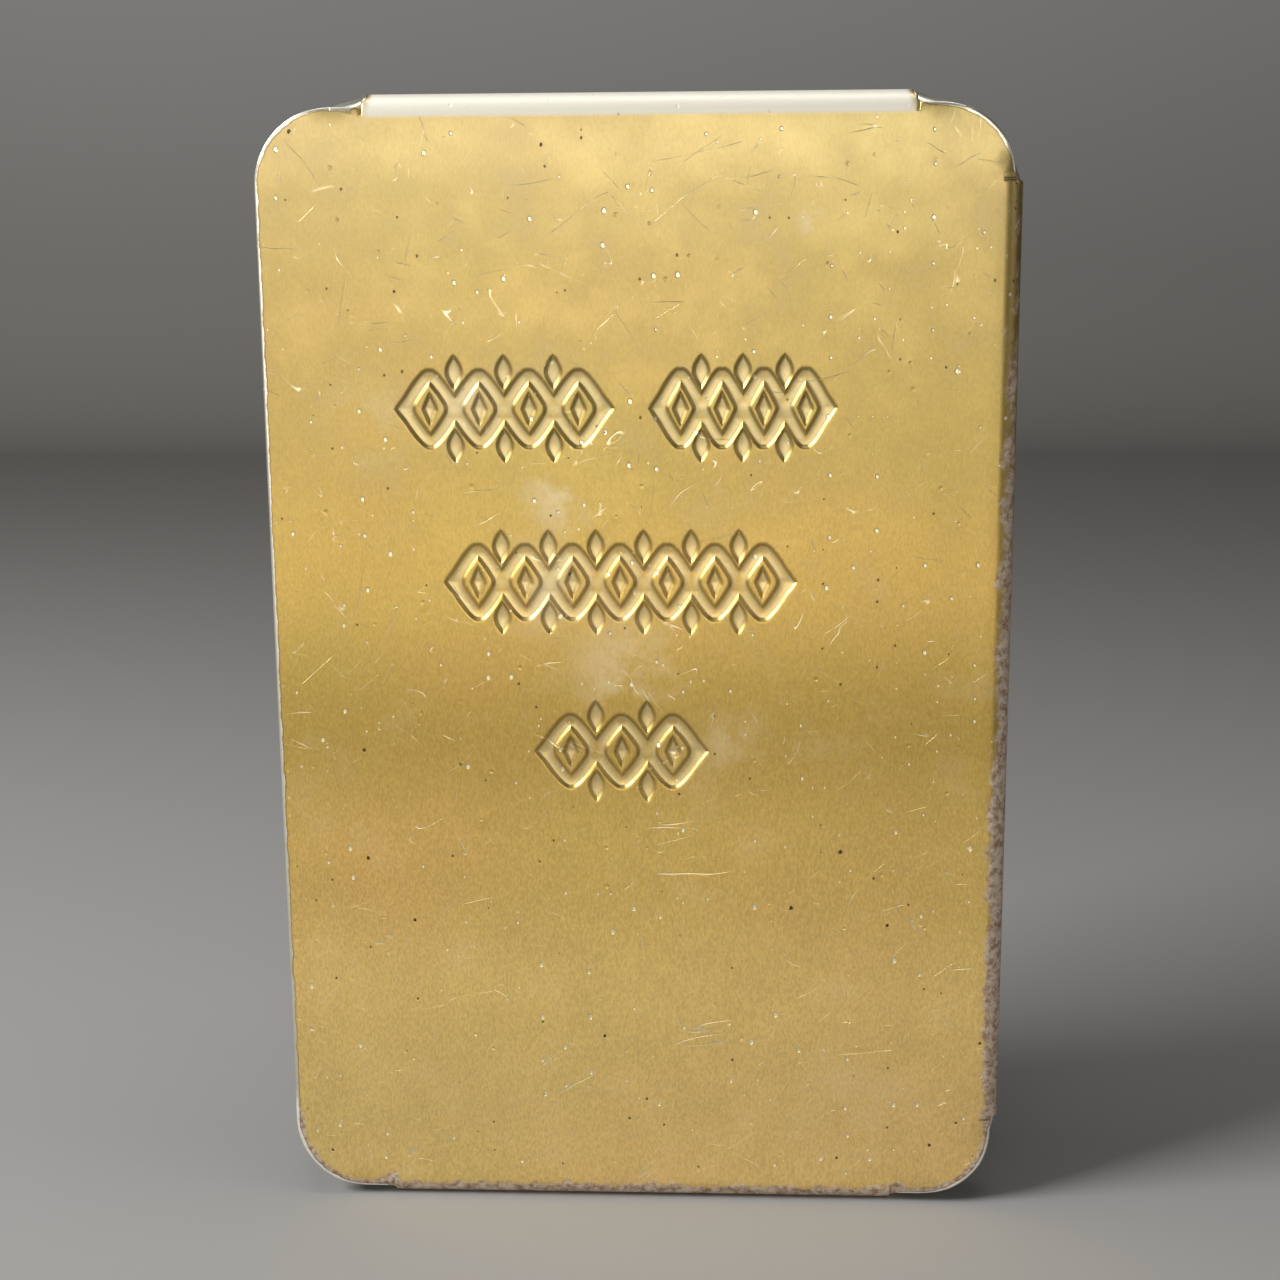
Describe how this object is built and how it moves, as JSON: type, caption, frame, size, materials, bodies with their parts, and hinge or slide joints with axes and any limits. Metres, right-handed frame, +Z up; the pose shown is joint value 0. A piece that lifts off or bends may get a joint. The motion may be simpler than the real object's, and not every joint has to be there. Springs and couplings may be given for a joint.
{
  "type": "shielded pocket prayer book",
  "caption": "Pocket prayer book that stands on its tail edges, its front board clasped by a stamped gilt sheet-steel plate with three bent tabs; both covers swing open.",
  "frame": {"origin": "on the base, below the centre of the whole closed book's bounding box", "axes": "+Z up along the book's height, the shield plate faces -Y, spine at -X and fore-edge at +X"},
  "size_m": [0.071, 0.017, 0.108],
  "materials": {
    "gilt_steel": "gold-coloured lacquer over satin sheet steel, worn through at the bends",
    "leatherette": "dark brown grained leatherette",
    "binders_board": "matt grey board",
    "endpaper": "matt cream paper",
    "text_paper": "thin matt paper, edges toned with age",
    "linen": "unbleached linen"
  },
  "bodies": {
    "book_block": {"gathering_01": "text_paper", "gathering_02": "text_paper", "gathering_03": "text_paper", "gathering_04": "text_paper", "gathering_05": "text_paper", "gathering_06": "text_paper", "gathering_07": "text_paper", "gathering_08": "text_paper", "sewing_tape_upper": "linen", "sewing_tape_lower": "linen", "kettle_stitch_head": "linen", "kettle_stitch_tail": "linen", "mull": "linen", "spine_lining": "endpaper", "headband": "linen", "tailband": "linen", "spine_inlay": "binders_board", "spine_covering": "leatherette"},
    "front_cover": {"shield_plate": "gilt_steel", "front_board": "binders_board", "front_covering": "leatherette", "front_pastedown": "endpaper"},
    "front_flyleaf": {"front_flyleaf": "endpaper"},
    "presentation_leaf": {"presentation_leaf": "endpaper"},
    "back_cover": {"back_board": "binders_board", "back_covering": "leatherette", "back_pastedown": "endpaper"},
    "back_flyleaf": {"back_flyleaf": "endpaper"}
  },
  "joints": [
    {"name": "front_cover_hinge", "type": "hinge", "parent": "book_block", "child": "front_cover", "pos_m": [-0.0345, -0.00728, 0], "axis": [0, 0, -1], "range_deg": [0, 150]},
    {"name": "front_flyleaf_turn", "type": "hinge", "parent": "book_block", "child": "front_flyleaf", "pos_m": [-0.03105, -0.00328, 0], "axis": [0, 0, -1], "range_deg": [0, 105]},
    {"name": "presentation_leaf_turn", "type": "hinge", "parent": "book_block", "child": "presentation_leaf", "pos_m": [-0.03105, -0.00272, 0], "axis": [0, 0, -1], "range_deg": [0, 60]},
    {"name": "back_cover_hinge", "type": "hinge", "parent": "book_block", "child": "back_cover", "pos_m": [-0.0345, 0.00827, 0], "axis": [0, 0, 1], "range_deg": [0, 150]},
    {"name": "back_flyleaf_turn", "type": "hinge", "parent": "book_block", "child": "back_flyleaf", "pos_m": [-0.03105, 0.00547, 0], "axis": [0, 0, 1], "range_deg": [0, 75]}
  ],
  "couplings": [
    {"joint": "front_flyleaf_turn", "follows": "front_cover_hinge", "ratio": 0.7},
    {"joint": "presentation_leaf_turn", "follows": "front_cover_hinge", "ratio": 0.4},
    {"joint": "back_flyleaf_turn", "follows": "back_cover_hinge", "ratio": 0.5}
  ]
}
